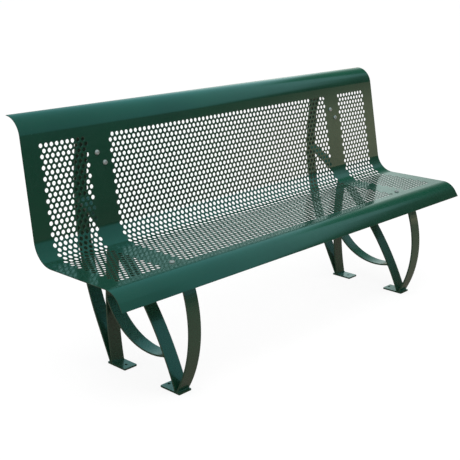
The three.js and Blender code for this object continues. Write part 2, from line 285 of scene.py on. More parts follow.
@dataclass(frozen=True)
class Finish:
    """A powder coat or a plating.

    Args:
        name: material name.
        base: its main colour.
        drifted: the colour that it drifts to.
        roughness: roughness where it is clean.
        relief: height of its grain, which is orange peel or scratches.
        wave: height of the slow waves of the sheet or bar under it.
        dust: colour of the dust that settles on faces turned up.
        dusting: largest share of dust.
        coat: weight of the clear top layer.
        coat_roughness: roughness of that layer.
        specular: level of the reflection under that layer.
        metallic: share of metallic reflection.
        drift: noise of the colour drift.
        drift_share: share of the drifted colour over that noise.
        specks: noise of the specks.
        speck_share: share of the dust's colour over that noise.
        settling: share of dust over the Z of a face's normal.
        mottle: noise of the patches of dust and wear.
        patches: share of dust over that noise.
        wear: what that noise adds to the roughness.
        dust_roughness: what full dust adds to the roughness.
        waves: noise of the slow waves.
        grain: noise of the grain.
        grain_stretch: scale of the grain along X, Y and Z.
        grain_strength: how far the grain turns the reflection.
    """

    name: str
    base: Colour
    drifted: Colour
    roughness: float
    relief: float
    wave: float = 0.0
    dust: Colour = (0.12, 0.17, 0.14)
    dusting: float = 0.0
    coat: float = 0.0
    coat_roughness: float = 0.07
    specular: float = 0.5
    metallic: float = 0.0
    drift: Noise = Noise(5.0, 3.0)
    drift_share: Ramp = Ramp(0.3, 0.7)
    specks: Noise = Noise(260.0, 2.0)
    speck_share: Ramp = Ramp(0.68, 0.8, 0.0, 0.07)
    settling: Ramp = Ramp(0.55, 1.0)
    mottle: Noise = Noise(60.0, 4.0)
    patches: Ramp = Ramp(0.35, 0.7, 0.35, 1.0)
    wear: Ramp = Ramp(0.3, 0.75, -0.03, 0.06)
    dust_roughness: float = 0.6
    waves: Noise = Noise(9.0)
    grain: Noise = Noise(700.0)
    grain_stretch: Triple = (1.0, 1.0, 1.0)
    grain_strength: float = 1.0

    def material(self) -> Material:
        """Makes the finish's material.

        Returns:
            The material.
        """
        made, graph = new_material(self.name)
        place = graph.node("ShaderNodeTexCoord").outputs["Object"]
        normal = graph.node("ShaderNodeNewGeometry").outputs["Normal"]
        upward = graph.node("ShaderNodeSeparateXYZ", {0: normal}).outputs["Z"]
        mottle = graph.noise(place, self.mottle)
        settled = graph.math("MULTIPLY", graph.ramp(upward, self.settling), self.dusting)
        settled = graph.math("MULTIPLY", settled, graph.ramp(mottle, self.patches))
        drifted = graph.ramp(graph.noise(place, self.drift), self.drift_share)
        clean = graph.mix(drifted, self.base, self.drifted)
        specked = graph.ramp(graph.noise(place, self.specks), self.speck_share)
        colour = graph.mix(settled, graph.mix(specked, clean, self.dust), self.dust)
        worn = graph.math("ADD", graph.ramp(mottle, self.wear), self.roughness)
        slow = {"Height": graph.noise(place, self.waves), "Distance": self.wave}
        under = graph.out("ShaderNodeBump", slow)
        stretched = graph.out("ShaderNodeMapping", {"Vector": place, "Scale": self.grain_stretch})
        fine = {
            "Height": graph.noise(stretched, self.grain),
            "Distance": self.relief,
            "Strength": self.grain_strength,
            "Normal": under,
        }
        inputs = {
            "Base Color": colour,
            "Roughness": graph.math("ADD", worn, graph.math("MULTIPLY", settled, self.dust_roughness)),
            "Normal": graph.out("ShaderNodeBump", fine),
            "Coat Normal": under,
            "Coat Weight": self.coat,
            "Coat Roughness": self.coat_roughness,
            "Specular IOR Level": self.specular,
            "Metallic": self.metallic,
        }
        graph.fill(graph.tree.nodes["Principled BSDF"], inputs)
        return made


SHELL_PAINT = Finish(
    "sheet_powder_coat",
    base=(0.005, 0.037, 0.021),
    drifted=(0.0065, 0.047, 0.026),
    roughness=0.18,
    relief=0.0015 * MM,
    wave=0.08 * MM,
    dust=(0.05, 0.10, 0.08),
    dusting=0.03,
    coat=0.8,
    specular=0.42,
)
FRAME_PAINT = Finish(
    "frame_powder_coat",
    base=(0.004, 0.039, 0.019),
    drifted=(0.006, 0.051, 0.025),
    roughness=0.25,
    relief=0.003 * MM,
    wave=0.1 * MM,
    dusting=0.10,
    coat=0.92,
    coat_roughness=0.16,
    specular=0.52,
)
STAINS = Noise(220.0, 4.0)
ZINC = Finish(
    "bright_zinc_plate",
    base=(0.50, 0.51, 0.50),
    drifted=(0.28, 0.29, 0.28),
    roughness=0.22,
    relief=0.04 * MM,
    metallic=0.45,
    drift=STAINS,
    drift_share=Ramp(0.45, 0.7),
    speck_share=Ramp(0.0, 1.0, 0.0, 0.0),
    mottle=STAINS,
    wear=Ramp(0.4, 0.75, 0.0, 0.22),
    grain=Noise(1.0, 3.0),
    grain_stretch=(900.0, 900.0, 60.0),
    grain_strength=0.6,
)


# Meshes


def add_piece(mesh: Mesh, material: Material | None = None) -> Object:
    """Links a mesh into the scene as an object at the origin, named after the mesh.

    Args:
        mesh: the mesh.
        material: its material, if it has one.

    Returns:
        The object.
    """
    mesh.materials.clear()
    if material:
        mesh.materials.append(material)
    made = bpy.data.objects.new(mesh.name, mesh)
    bpy.context.scene.collection.objects.link(made)
    return made


def group_tree(name: str, inputs: dict[str, str]) -> tuple[Graph, Node, Node]:
    """Starts a geometry node tree.

    Args:
        name: name of the tree.
        inputs: socket type of each named input.

    Returns:
        The graph, its input node and its output node.
    """
    tree = bpy.data.node_groups.new(name, "GeometryNodeTree")
    for side in ("INPUT", "OUTPUT"):
        tree.interface.new_socket("Geometry", in_out=side, socket_type="NodeSocketGeometry")
    for label, kind in inputs.items():
        tree.interface.new_socket(label, in_out="INPUT", socket_type=f"NodeSocket{kind}")
    graph = Graph(tree)
    return graph, graph.node("NodeGroupInput"), graph.node("NodeGroupOutput")


def grown(name: str, seed: Mesh, tree: NodeTree, values: dict[str, float]) -> Mesh:
    """Runs a geometry node tree on a mesh and keeps the result as a plain mesh.

    Args:
        name: name of the result.
        seed: mesh that goes in.
        tree: the tree.
        values: value of each named input.

    Returns:
        The plain mesh.
    """
    holder = add_piece(seed)
    modifier = holder.modifiers.new("Layout", "NODES")
    modifier.node_group = tree
    for item in tree.interface.items_tree:
        if item.item_type == "SOCKET" and item.in_out == "INPUT" and item.name in values:
            modifier[item.identifier] = values[item.name]
    holder.update_tag()
    bpy.context.view_layer.update()
    ready = holder.evaluated_get(bpy.context.evaluated_depsgraph_get())
    made = bpy.data.meshes.new_from_object(ready)
    made.name = name
    bpy.data.objects.remove(holder)
    bpy.data.meshes.remove(seed)
    return made


def soften(node: Object, width: float, material: Material) -> None:
    """Gives a CAD node a finish and soft edges.

    Args:
        node: the node's object.
        width: width of the rounded edges.
        material: its finish.
    """
    node.data.materials.clear()
    node.data.materials.append(material)
    bevel = node.modifiers.new("Soft edges", "BEVEL")
    bevel.width = width
    bevel.segments = ROUNDING_STEPS
    bevel.limit_method = "ANGLE"
    bevel.angle_limit = SHARP_FROM
    LOG.info("%s: finished", node.name)


def panel(
    left: float, right: float, bottom: float, top: float, on_bottom: Marks = (), on_top: Marks = ()
) -> Outline:
    """Outlines a flat rectangle that has extra corners on its lower and upper sides.

    Args:
        left: lowest x.
        right: highest x.
        bottom: lowest distance along the sheet.
        top: highest distance along the sheet.
        on_bottom: x of the extra corners on the lower side.
        on_top: x of the extra corners on the upper side.

    Returns:
        The corners counter-clockwise, each as x and distance along the sheet.
    """
    return [
        (left, bottom),
        *((x, bottom) for x in sorted(on_bottom)),
        (right, bottom),
        (right, top),
        *((x, top) for x in sorted(on_top, reverse=True)),
        (left, top),
    ]


# The seat and back sheet


@dataclass(frozen=True)
class Stretch:
    """One stretch of the sheet's middle line.

    Args:
        length: length along the middle line.
        turn: change of heading in radians, positive to the left. Zero makes a straight stretch.
    """

    length: float
    turn: float = 0.0

    @classmethod
    def bend(cls, radius: float, degrees: float, thickness: float) -> Stretch:
        """Makes a bent stretch.

        Args:
            radius: radius of the face on the left, which the sitter touches.
            degrees: turn, positive to the left.
            thickness: sheet thickness.

        Returns:
            The stretch.
        """
        turn = math.radians(degrees)
        return cls(abs(turn) * (radius + math.copysign(thickness / 2, turn)), turn)

    def walk(self, heading: float, rest: np.ndarray) -> np.ndarray:
        """Displacements after travelling into the stretch.

        Args:
            heading: heading at its start.
            rest: distances into it.

        Returns:
            Displacements as an (n, 2) array of (y, z).
        """
        if self.turn == 0:
            return rest[:, None] * np.array([math.cos(heading), math.sin(heading)])
        radius = self.length / self.turn
        angle = heading + rest / radius
        steps = [np.sin(angle) - math.sin(heading), math.cos(heading) - np.cos(angle)]
        return radius * np.stack(steps, axis=1)


@dataclass(frozen=True)
class SheetProfile:
    """The sheet's middle line in the side plane, from the lip's lower edge up to the tip of the top roll.

    A flat coordinate is (x, distance along the line, height over the middle towards the sitter).

    Args:
        thickness: sheet thickness.
        stretches: the stretches, in the order of Part.
        heading: direction at the start in radians, from +Y towards +Z.
        start: where the middle line starts, as (y, z).
    """

    thickness: float
    stretches: tuple[Stretch, ...]
    heading: float
    start: tuple[float, float] = (0.0, 0.0)

    def begin(self, part: Part) -> float:
        """Distance along the line at which a stretch starts.

        Args:
            part: the stretch, or the profile's end.

        Returns:
            The distance.
        """
        return sum(piece.length for piece in self.stretches[:part])

    def frame(self, along: np.ndarray) -> tuple[np.ndarray, np.ndarray]:
        """Finds the points and headings of the middle line.

        Args:
            along: distances from the start.

        Returns:
            Points as an (n, 2) array of (y, z), and headings in radians.
        """
        points = np.zeros((len(along), 2))
        headings = np.zeros(len(along))
        at, heading = np.array(self.start), self.heading
        for part, piece in enumerate(self.stretches):
            begin = self.begin(Part(part))
            beyond = along >= begin - TOUCH
            rest = along[beyond] - begin
            points[beyond] = at + piece.walk(heading, rest)
            headings[beyond] = heading + piece.turn * rest / piece.length
            at = at + piece.walk(heading, np.array([piece.length]))[0]
            heading += piece.turn
        return points, headings

    def place(self, flat: np.ndarray) -> np.ndarray:
        """Bends flat coordinates into the sheet's shape.

        Args:
            flat: (n, 3) flat coordinates.

        Returns:
            World positions, (n, 3).
        """
        points, headings = self.frame(flat[:, 1])
        over = np.stack([-np.sin(headings), np.cos(headings)], axis=1) * flat[:, 2:3]
        return np.column_stack([flat[:, 0], points + over])

    def turned(self, flat: np.ndarray, normals: np.ndarray) -> np.ndarray:
        """Turns normals of the flat sheet into those of the bent one.

        Args:
            flat: (n, 3) flat coordinates.
            normals: (n, 3) normals in the flat sheet.

        Returns:
            World normals, (n, 3).
        """
        _, headings = self.frame(flat[:, 1])
        cos, sin = np.cos(headings), np.sin(headings)
        across = normals[:, 1] * cos - normals[:, 2] * sin
        upward = normals[:, 1] * sin + normals[:, 2] * cos
        return np.column_stack([normals[:, 0], across, upward])

    def filling(self, low: Vector, high: Vector) -> SheetProfile:
        """Moves the profile so that the bent sheet fills a box in side view.

        Args:
            low: lowest corner of the box.
            high: highest corner of the box.

        Returns:
            The moved profile.
        """
        along = np.linspace(0, self.begin(Part.END), PROFILE_SAMPLES)
        half = self.thickness / 2
        faces = self.place(np.array([(0.0, at, over) for over in (-half, half) for at in along]))
        y, z = self.start
        moved = (y + low.y - float(faces[:, 1].min()), z + high.z - float(faces[:, 2].max()))
        return replace(self, start=moved)


@dataclass(frozen=True)
class HoleField:
    """One stretch of the sheet along X and the field of holes in it.

    Args:
        name: piece name.
        left: x at which the stretch starts.
        right: x at which it ends.
        first: x of the first hole in the even rows.
        count: holes in a row.
        odd_shift: sideways shift of the odd rows.
    """

    name: str
    left: float
    right: float
    first: float
    count: int
    odd_shift: float


@dataclass(frozen=True)
class Perforation:
    """The staggered pattern that all fields share.

    Args:
        pitch: distance between neighbouring holes.
        diameter: diameter of a hole.
        sides: sides of the polygon that stands for a hole.
        rows: number of rows, the first at the top of the back.
        top: distance along the sheet from the lip's lower edge to the first row.
        fields: the fields.
        seam: distance below which the corners of neighbouring tiles are joined.
    """

    pitch: float
    diameter: float
    sides: int
    rows: int
    top: float
    fields: tuple[HoleField, ...]
    seam: float = 0.01 * MM

    @property
    def row_pitch(self) -> float:
        """Distance between rows.

        Returns:
            The distance.
        """
        return self.pitch * math.sqrt(3) / 2

    def line(self, halves: int) -> float:
        """Distance along the sheet to a line between half rows.

        Args:
            halves: half rows below the top of the first row's tiles.

        Returns:
            The distance.
        """
        return self.top + (1 - halves) * self.row_pitch / 2

    def span(self, field: HoleField, row: int) -> tuple[float, float]:
        """The stretch of x that a row's tiles cover.

        Args:
            field: the field.
            row: row number.

        Returns:
            Its lowest and highest x.
        """
        start = field.first - self.pitch / 2 + (field.odd_shift if row % 2 else 0.0)
        return start, start + field.count * self.pitch

    def tile(self) -> Mesh:
        """Makes one flat tile with a hole in its middle.

        Returns:
            The tile's mesh, eight faces round the hole.
        """
        half_x, half_y = self.pitch / 2, self.row_pitch / 2
        radius = self.diameter / 2
        bm = bmesh.new()
        angles = [2 * math.pi * i / self.sides for i in range(self.sides)]
        rim = [bm.verts.new((radius * math.cos(a), radius * math.sin(a), 0)) for a in angles]
        signs = [(1, 0), (1, 1), (0, 1), (-1, 1), (-1, 0), (-1, -1), (0, -1), (1, -1)]
        outer = [bm.verts.new((half_x * x, half_y * y, 0)) for x, y in signs]
        share = self.sides // len(signs)
        for i in range(len(signs)):
            arc = [rim[(i * share + step) % self.sides] for step in range(share, -1, -1)]
            bm.faces.new([outer[i], outer[(i + 1) % len(signs)], *arc])
        mesh = bpy.data.meshes.new("tile")
        bm.to_mesh(mesh)
        bm.free()
        return mesh

    def rows_tree(self) -> NodeTree:
        """Makes the tree that lays a tile out in staggered rows.

        Returns:
            The tree.
        """
        graph, group, result = group_tree("Staggered rows", {"Holes in a row": "Int", "Odd shift": "Float"})
        given = group.outputs
        step, drop = (self.pitch, 0.0, 0.0), (0.0, -self.row_pitch, 0.0)
        places = graph.out("GeometryNodeMeshLine", {"Count": given["Holes in a row"], "Offset": step})
        row = graph.out("GeometryNodeInstanceOnPoints", {"Points": places, "Instance": given["Geometry"]})
        starts = graph.out("GeometryNodeMeshLine", {"Count": self.rows, "Offset": drop})
        odd = graph.math("MODULO", graph.out("GeometryNodeInputIndex"), 2.0)
        shift = graph.out("ShaderNodeCombineXYZ", {0: graph.math("MULTIPLY", odd, given["Odd shift"])})
        staggered = graph.out("GeometryNodeSetPosition", {"Geometry": starts, "Offset": shift})
        rows = graph.out("GeometryNodeInstanceOnPoints", {"Points": staggered, "Instance": row})
        real = graph.out("GeometryNodeRealizeInstances", {0: rows})
        joined = graph.out("GeometryNodeMergeByDistance", {"Geometry": real, "Distance": self.seam})
        graph.fill(result, {0: joined})
        return graph.tree


@dataclass
class PerforatedSheet:
    """The seat and back: one bent sheet with three fields of holes, in three stretches along X.

    Args:
        coat: its finish.
        profile: side profile. build() moves it to the place of the CAD sheet.
        holes: pattern of holes.
        half_length: x of the right end.
        lip_steps: flat strips round the front lip.
        roll_steps: flat strips round the top roll.
        edge_rounding: width of the rounded outer edges.
        seam: distance below which the corners of neighbouring parts are joined.
        replaced: the CAD node that the stretches stand in for.
    """

    coat: Material
    profile: SheetProfile
    holes: Perforation
    half_length: float = 905 * MM
    lip_steps: int = 16
    roll_steps: int = 22
    edge_rounding: float = 0.7 * MM
    seam: float = 0.02 * MM
    replaced: str = "seat_shell"

    def beside_rows(self, field: HoleField) -> list[Outline]:
        """Outlines the plain parts at both ends of the rows, half a row high each.

        Args:
            field: the stretch.

        Returns:
            The outlines.
        """
        found = []
        for row in range(self.holes.rows):
            low, high = self.holes.span(field, row)
            for upper, halves, other in ((True, 2 * row, row - 1), (False, 2 * row + 1, row + 1)):
                top, bottom = self.holes.line(halves), self.holes.line(halves + 1)
                other_low, other_high = low, high
                if 0 <= other < self.holes.rows:
                    other_low, other_high = self.holes.span(field, other)
                side = "on_top" if upper else "on_bottom"
                on_left = {side: [other_low] if other_low < low - TOUCH else []}
                on_right = {side: [other_high] if other_high > high + TOUCH else []}
                found.append(panel(field.left, low, bottom, top, **on_left))
                found.append(panel(high, field.right, bottom, top, **on_right))
        return found

    def beyond_rows(self, field: HoleField) -> list[Outline]:
        """Outlines the plain parts above the first row and below the last.

        Args:
            field: the stretch.

        Returns:
            The outlines.
        """
        left, right, holes = field.left, field.right, self.holes
        seat, roll = self.profile.begin(Part.SEAT), self.profile.begin(Part.ROLL)
        marks = []
        for row in (0, holes.rows - 1):
            low, _ = holes.span(field, row)
            marks.append([low + holes.pitch / 2 * i for i in range(2 * field.count + 1)])
        found = [
            panel(left, right, holes.line(0), roll, on_bottom=marks[0]),
            panel(left, right, seat, holes.line(2 * holes.rows), on_top=marks[1]),
        ]
        lip = np.linspace(self.profile.begin(Part.LIP), seat, self.lip_steps + 1)
        top_roll = np.linspace(roll, self.profile.begin(Part.END), self.roll_steps + 1)
        for cuts in ([0.0, *lip], [*top_roll]):
            found += [panel(left, right, lower, upper) for lower, upper in zip(cuts, cuts[1:])]
        return found

    def thicken(self, bm: bmesh.types.BMesh) -> None:
        """Gives a flat sheet its thickness, half on each side.

        Args:
            bm: the sheet at height 0, facing up.
        """
        half = self.profile.thickness / 2
        under = {}
        for vert in list(bm.verts):
            under[vert] = bm.verts.new((vert.co.x, vert.co.y, -half))
            vert.co.z = half
        rims = [edge.link_loops[0] for edge in bm.edges if len(edge.link_faces) == 1]
        walls = [(loop.vert, loop.link_loop_next.vert) for loop in rims]
        for face in list(bm.faces):
            bm.faces.new([under[vert] for vert in reversed(face.verts)])
        for first, second in walls:
            bm.faces.new([second, first, under[first], under[second]])

    def outer_sides(self, vert: bmesh.types.BMVert) -> set[str]:
        """Names the sides of the whole sheet's outline that a corner lies on.

        Args:
            vert: a corner of the flat plate.

        Returns:
            Names of the sides.
        """
        sides = {
            "left": vert.co.x + self.half_length,
            "right": vert.co.x - self.half_length,
            "front": vert.co.y,
            "top": vert.co.y - self.profile.begin(Part.END),
        }
        return {name for name, away in sides.items() if abs(away) < TOUCH}

    def round_outline(self, bm: bmesh.types.BMesh) -> None:
        """Rounds the long edges and the two free ends of the sheet.

        Args:
            bm: the flat plate.
        """
        edges = []
        for edge in bm.edges:
            first, second = edge.verts
            level = abs(first.co.z - second.co.z) < TOUCH
            if level and self.outer_sides(first) & self.outer_sides(second):
                edges.append(edge)
        rounding = {"offset": self.edge_rounding, "segments": ROUNDING_STEPS, "profile": 0.5}
        bmesh.ops.bevel(bm, geom=edges, affect="EDGES", clamp_overlap=True, **rounding)

    def flat_plate(self, field: HoleField, tree: NodeTree) -> Mesh:
        """Makes a stretch of the sheet as a flat plate of its thickness.

        Args:
            field: the stretch.
            tree: the tree that lays out the rows.

        Returns:
            The plate's mesh in flat coordinates.
        """
        row = {"Holes in a row": field.count, "Odd shift": field.odd_shift}
        mesh = grown(field.name, self.holes.tile(), tree, row)
        mesh.transform(Matrix.Translation((field.first, self.holes.top, 0)))
        bm = bmesh.new()
        bm.from_mesh(mesh)
        for outline in self.beside_rows(field) + self.beyond_rows(field):
            bm.faces.new([bm.verts.new((x, y, 0)) for x, y in outline])
        bmesh.ops.remove_doubles(bm, verts=bm.verts, dist=self.seam)
        self.thicken(bm)
        self.round_outline(bm)
        bm.to_mesh(mesh)
        bm.free()
        return mesh

    def bent(self, mesh: Mesh) -> None:
        """Bends a flat plate, with smooth shading from its true curves.

        Args:
            mesh: the plate's mesh in flat coordinates.
        """
        mesh.polygons.foreach_set("use_smooth", np.ones(len(mesh.polygons), bool))
        mesh.set_sharp_from_angle(angle=SHARP_FROM)
        mesh.update()
        flat = np.zeros(len(mesh.vertices) * 3, np.float32)
        mesh.vertices.foreach_get("co", flat)
        flat = flat.reshape(-1, 3).astype(float)
        corners = np.zeros(len(mesh.loops), np.int32)
        mesh.loops.foreach_get("vertex_index", corners)
        normals = np.zeros(len(mesh.loops) * 3, np.float32)
        mesh.corner_normals.foreach_get("vector", normals)
        world = self.profile.turned(flat[corners], normals.reshape(-1, 3).astype(float))
        mesh.vertices.foreach_set("co", self.profile.place(flat).astype(np.float32).ravel())
        mesh.update()
        mesh.normals_split_custom_set(world.tolist())

    def build(self) -> list[Object]:
        """Builds the stretches in the place of the CAD sheet.

        Returns:
            The pieces.
        """
        self.profile = self.profile.filling(*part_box(self.replaced))
        tree = self.holes.rows_tree()
        pieces = []
        for field in self.holes.fields:
            mesh = self.flat_plate(field, tree)
            self.bent(mesh)
            pieces.append(add_piece(mesh, self.coat))
            LOG.info("%s: %d faces", field.name, len(mesh.polygons))
        return pieces

    def dress(self, pieces: list[Object]) -> None:
        """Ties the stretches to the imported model.

        Args:
            pieces: the pieces.
        """
        for piece in pieces:
            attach(piece, "root")
            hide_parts(self.replaced)


SHEET = 2.2 * MM
PROFILE = SheetProfile(
    thickness=SHEET,
    stretches=(
        Stretch(25 * MM),
        Stretch.bend(70 * MM, -57, SHEET),
        Stretch(257 * MM),
        Stretch.bend(80.5 * MM, 80.6, SHEET),
        Stretch(323 * MM),
        Stretch.bend(70 * MM, -80.3, SHEET),
    ),
    heading=math.radians(56.7),
)
FIRST_ROW_DROP = 37.3 * MM
PERFORATION = Perforation(
    pitch=20 * MM,
    diameter=14.2 * MM,
    sides=16,
    rows=37,
    top=PROFILE.begin(Part.ROLL) - FIRST_ROW_DROP,
    fields=(
        HoleField("sheet_left_end", -905 * MM, -613.5 * MM, first=-835 * MM, count=9, odd_shift=10 * MM),
        HoleField("sheet_middle", -613.5 * MM, 613.5 * MM, first=-555 * MM, count=57, odd_shift=-10 * MM),
        HoleField("sheet_right_end", 613.5 * MM, 905 * MM, first=665 * MM, count=9, odd_shift=10 * MM),
    ),
)


# The leg frames


@dataclass(frozen=True)
class Weld:
    """A straight bead across the bars, in the side plane of a leg frame.

    Args:
        joint: what it joins.
        y: where it lies along Y.
        z: its height.
        size: radius of its ripples.
    """

    joint: str
    y: float
    z: float
    size: float


FOOT_BEAD = 3.0 * MM
BACK_BEAD = 2.6 * MM
BAR_BEAD = 2.4 * MM
WELDS = (
    Weld("rear plate to upright, rear side", 111.9 * MM, 6 * MM, FOOT_BEAD),
    Weld("rear plate to rear leg, front side", 98.4 * MM, 6 * MM, FOOT_BEAD),
    Weld("front plate to bow, front side", -215.2 * MM, 6 * MM, FOOT_BEAD),
    Weld("front plate to diagonal, rear side", -201.2 * MM, 6 * MM, FOOT_BEAD),
    Weld("diagonal to upright, upper side", 274.1 * MM, 543.8 * MM, BACK_BEAD),
    Weld("diagonal to upright, lower side", 273.8 * MM, 536.4 * MM, BACK_BEAD),
    Weld("rear leg to diagonal, front side", 103.5 * MM, 419.4 * MM, BAR_BEAD),
    Weld("rear leg to diagonal, rear side", 109.0 * MM, 424.0 * MM, BAR_BEAD),
    Weld("lower arc to rear leg, upper side", 120.2 * MM, 234.2 * MM, BAR_BEAD),
    Weld("lower arc to rear leg, lower side", 120.3 * MM, 220.4 * MM, BAR_BEAD),
    Weld("lower arc to diagonal, lower side", -154.1 * MM, 104.2 * MM, BAR_BEAD),
    Weld("lower arc to diagonal, upper side", -150.8 * MM, 110.1 * MM, BAR_BEAD),
)


@dataclass(frozen=True)
class Ripples:
    """The overlapping ripples of a weld bead.

    Args:
        spacing: distance between ripples.
        smallest: smallest size of a ripple, as a share of its bead's.
        largest: largest size.
        tilt: largest turns about X, Y and Z, in radians.
        squash: length along the bead, as a share of the size.
        segments: strips round a ripple.
        rings: rings of a ripple.
    """

    spacing: float = 2 * MM
    smallest: float = 0.85
    largest: float = 1.12
    tilt: Triple = (0.4, 0.25, 0.25)
    squash: float = 0.8
    segments: int = 8
    rings: int = 6

    def tree(self) -> NodeTree:
        """Makes the tree that turns lines into rows of ripples.

        Returns:
            The tree.
        """
        graph, group, result = group_tree("Weld ripples", {"Seed": "Int"})
        given = group.outputs
        lines = graph.out("GeometryNodeMeshToCurve", {0: given["Geometry"]})
        size = graph.out("GeometryNodeInputNamedAttribute", {0: "size"}, data_type="FLOAT")
        spaced = {"Curve": lines, "Length": self.spacing}
        ball = {"Segments": self.segments, "Rings": self.rings}
        sizes = {2: self.smallest, 3: self.largest, "Seed": given["Seed"]}
        turns = {0: tuple(-turn for turn in self.tilt), 1: self.tilt, "Seed": given["Seed"]}
        uneven = graph.node("FunctionNodeRandomValue", sizes, data_type="FLOAT").outputs[1]
        scale = graph.math("MULTIPLY", uneven, size)
        shape = {0: graph.math("MULTIPLY", scale, self.squash), 1: scale, 2: scale}
        ripples = {
            "Points": graph.out("GeometryNodeResampleCurve", spaced, mode="LENGTH"),
            "Instance": graph.out("GeometryNodeMeshUVSphere", ball),
            "Rotation": graph.out("FunctionNodeRandomValue", turns, data_type="FLOAT_VECTOR"),
            "Scale": graph.out("ShaderNodeCombineXYZ", shape),
        }
        bead = graph.out("GeometryNodeInstanceOnPoints", ripples)
        real = graph.out("GeometryNodeRealizeInstances", {0: bead})
        graph.fill(result, {0: graph.out("GeometryNodeSetShadeSmooth", {0: real})})
        return graph.tree


@dataclass
class LegFrame:
    """One welded leg frame: its CAD bars and plates, and its weld beads.

    Args:
        side: which frame.
        coat: its material.
        seed: seed of the ripples.
        bars: names of its CAD bars without the side.
        plates: names of its CAD plates without the side.
        edge_rounding: width of their rounded edges.
        bead_inset: how far a bead stops short of a bar's edge.
        welds: its welds.
    """

    side: Side
    coat: Material
    seed: int
    bars: tuple[str, ...] = ("rear_upright", "rear_leg", "diagonal_bar", "front_bow", "lower_arc")
    plates: tuple[str, ...] = ("rear_foot_plate", "front_foot_plate")
    edge_rounding: float = 0.8 * MM
    bead_inset: float = 2 * MM
    welds: tuple[Weld, ...] = WELDS

    def build(self, tree: NodeTree) -> Object:
        """Builds the weld beads.

        Args:
            tree: the tree that lays out the ripples.

        Returns:
            The piece.
        """
        low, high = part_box(f"{self.side.value}_rear_upright")
        ends = (low.x + self.bead_inset, high.x - self.bead_inset)
        mesh = bpy.data.meshes.new("weld_lines")
        points = [(x, weld.y, weld.z) for weld in self.welds for x in ends]
        mesh.from_pydata(points, [(2 * i, 2 * i + 1) for i in range(len(self.welds))], [])
        size = mesh.attributes.new("size", "FLOAT", "POINT")
        size.data.foreach_set("value", [weld.size for weld in self.welds for _ in ends])
        made = grown(f"{self.side.value}_weld_beads", mesh, tree, {"Seed": self.seed})
        joints = "; ".join(weld.joint for weld in self.welds)
        LOG.info("%s: %d faces, %s", made.name, len(made.polygons), joints)
        return add_piece(made, self.coat)

    def dress(self, beads: Object, cad: dict[str, Object]) -> None:
        """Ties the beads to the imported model, and gives the bars and plates their finish.

        Args:
            beads: the weld beads.
            cad: the CAD nodes by name.
        """
        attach(beads, "root")
        for name in self.bars + self.plates:
            soften(cad[f"{self.side.value}_{name}"], self.edge_rounding, self.coat)


@dataclass
class Fasteners:
    """The bolts, washers and nuts of one leg frame. Their shapes are the CAD nodes'.

    Args:
        side: which frame.
        plating: their material.
        places: where a frame has them.
        kinds: what is at each place.
        edge_rounding: width of their rounded edges.
    """

    side: Side
    plating: Material
    places: tuple[str, ...] = ("upper_back", "lower_back", "seat")
    kinds: tuple[str, ...] = ("bolt", "washer", "nut")
    edge_rounding: float = 0.2 * MM

    def dress(self, cad: dict[str, Object]) -> None:
        """Gives them their finish.

        Args:
            cad: the CAD nodes by name.
        """
        for place in self.places:
            for kind in self.kinds:
                soften(cad[f"{self.side.value}_{place}_{kind}"], self.edge_rounding, self.plating)


# Studio


@dataclass(frozen=True)
class SoftLamp:
    """A large soft lamp, which reflections don't show.

    Args:
        place: where it stands.
        aim: what it points at.
        size: its width and height.
        power: watts.
    """

    place: Triple = (-0.6, -0.8, 3.6)
    aim: Triple = (0.0, 0.0, 0.3)
    size: tuple[float, float] = (4.0, 3.0)
    power: float = 60.0

    def build(self) -> None:
        """Adds the lamp to the scene."""
        data = bpy.data.lights.new("overhead", "AREA")
        data.shape = "RECTANGLE"
        data.size, data.size_y = self.size
        data.energy = self.power
        lamp = bpy.data.objects.new("overhead", data)
        lamp.visible_glossy = False
        lamp.location = self.place
        lamp.rotation_euler = (Vector(self.aim) - Vector(self.place)).to_track_quat("-Z", "Y").to_euler()
        bpy.context.scene.collection.objects.link(lamp)


@dataclass(frozen=True)
class Floor:
    """The floor: white to the camera apart from the shadow, and mid grey to the object.

    Args:
        half_size: half its width.
        glow: light that it gives off towards the camera.
        shadow: share of the light on it that the camera sees, which carries the shadow.
        lit: colour for the light that it throws back.
        mirrored: colour in reflections.
    """

    half_size: float = 30.0
    glow: float = 0.84
    shadow: float = 0.2
    lit: Colour = (0.34, 0.35, 0.34)
    mirrored: Colour = (0.27, 0.235, 0.19)

    def material(self) -> Material:
        """Makes the floor's material.

        Returns:
            The material.
        """
        made, graph = new_material("pale_floor")
        graph.tree.nodes.clear()
        colours = (self.lit, self.mirrored, (self.shadow,) * 3)
        lit, mirrored, faint = (graph.out("ShaderNodeBsdfDiffuse", {0: each}) for each in colours)
        glow = graph.out("ShaderNodeEmission", {"Color": WHITE, "Strength": self.glow})
        pale = graph.out("ShaderNodeAddShader", {0: faint, 1: glow})
        graph.node("ShaderNodeOutputMaterial", {"Surface": graph.by_ray(lit, mirrored, pale)})
        return made

    def build(self) -> None:
        """Adds the floor to the scene."""
        bm = bmesh.new()
        bmesh.ops.create_grid(bm, x_segments=1, y_segments=1, size=self.half_size)
        mesh = bpy.data.meshes.new("floor")
        bm.to_mesh(mesh)
        bm.free()
        add_piece(mesh, self.material())


